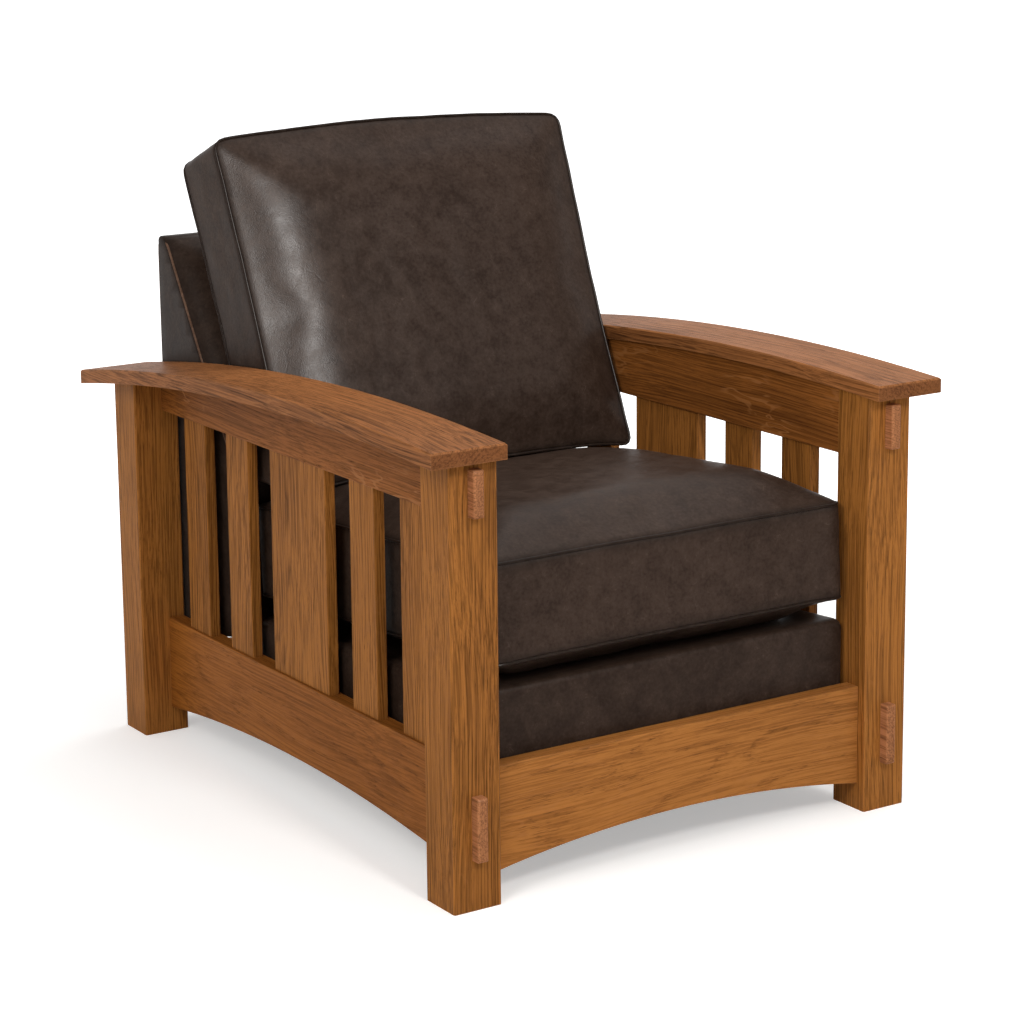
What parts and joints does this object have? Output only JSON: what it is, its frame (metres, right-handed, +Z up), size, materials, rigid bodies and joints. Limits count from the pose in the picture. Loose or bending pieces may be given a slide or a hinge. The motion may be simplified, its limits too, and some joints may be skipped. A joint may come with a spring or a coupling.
{
  "type": "mission reclining armchair",
  "caption": "Slatted oak armchair with bowed arms, arched rails and loose boxed leather cushions; its upholstered back reclines on a hidden hinge.",
  "frame": {"origin": "on the floor, below the middle of the chair's length and width", "axes": "+X towards the right when facing the chair's front, +Y from the front towards the back, +Z up"},
  "size_m": [0.798, 0.981, 0.9079],
  "materials": {
    "oak": "satin",
    "dark_oak": "satin",
    "inner_wood": "raw",
    "cushion_leather": "satin",
    "body_leather": "satin",
    "webbing": "matte",
    "black_steel": "satin",
    "zinc_steel": "satin",
    "chromed_steel": "polished"
  },
  "bodies": {
    "frame": {"arm_dowels": "inner_wood", "arm_left": "oak", "arm_right": "oak", "deck_band_front": "body_leather", "deck_band_left": "body_leather", "deck_band_right": "body_leather", "deck_cross_rail": "inner_wood", "deck_rail_front": "inner_wood", "deck_rail_left": "inner_wood", "deck_rail_rear": "inner_wood", "deck_rail_right": "inner_wood", "deck_top_pad": "cushion_leather", "frame_screws": "zinc_steel", "front_post_left": "oak", "front_post_right": "oak", "front_rail": "oak", "lower_rail_left": "oak", "lower_rail_right": "oak", "lower_tenon_ends": "dark_oak", "pivot_bracket_left": "black_steel", "pivot_bracket_right": "black_steel", "rear_post_left": "oak", "rear_post_right": "oak", "rear_rail": "oak", "seat_cleat_left": "inner_wood", "seat_cleat_right": "inner_wood", "seat_cushion": "cushion_leather", "seat_webbing": "webbing", "slat_left_1": "oak", "slat_left_2": "oak", "slat_left_3": "oak", "slat_left_4": "oak", "slat_left_5": "oak", "slat_right_1": "oak", "slat_right_2": "oak", "slat_right_3": "oak", "slat_right_4": "oak", "slat_right_5": "oak", "strut_bracket": "black_steel", "strut_tube": "black_steel", "upper_rail_left": "oak", "upper_rail_right": "oak", "upper_tenon_ends": "dark_oak"},
    "back": {"back_cushion": "cushion_leather", "back_inside_pad": "cushion_leather", "back_lower_panel": "body_leather", "back_outside_panel": "body_leather", "back_rail_bottom": "inner_wood", "back_rail_top": "inner_wood", "back_side_covers": "body_leather", "back_stile_left": "inner_wood", "back_stile_right": "inner_wood", "back_webbing": "webbing", "hinge_plate_left": "black_steel", "hinge_plate_right": "black_steel", "hinge_screws": "zinc_steel", "recline_lever": "black_steel", "recline_shaft": "zinc_steel", "strut_pin": "zinc_steel"},
    "strut": {"strut_rod": "chromed_steel"}
  },
  "joints": [
    {"name": "recline", "type": "hinge", "parent": "frame", "child": "back", "pos_m": [0, 0.1755, 0.172], "axis": [-1, 0, 0], "range_deg": [0, 18]},
    {"name": "strut_slide", "type": "slide", "parent": "frame", "child": "strut", "axis": [0, -1, 0], "range_m": [0, 0.0174]}
  ],
  "couplings": [
    {"joint": "strut_slide", "follows": "recline", "m_per_rad": 0.05478}
  ]
}
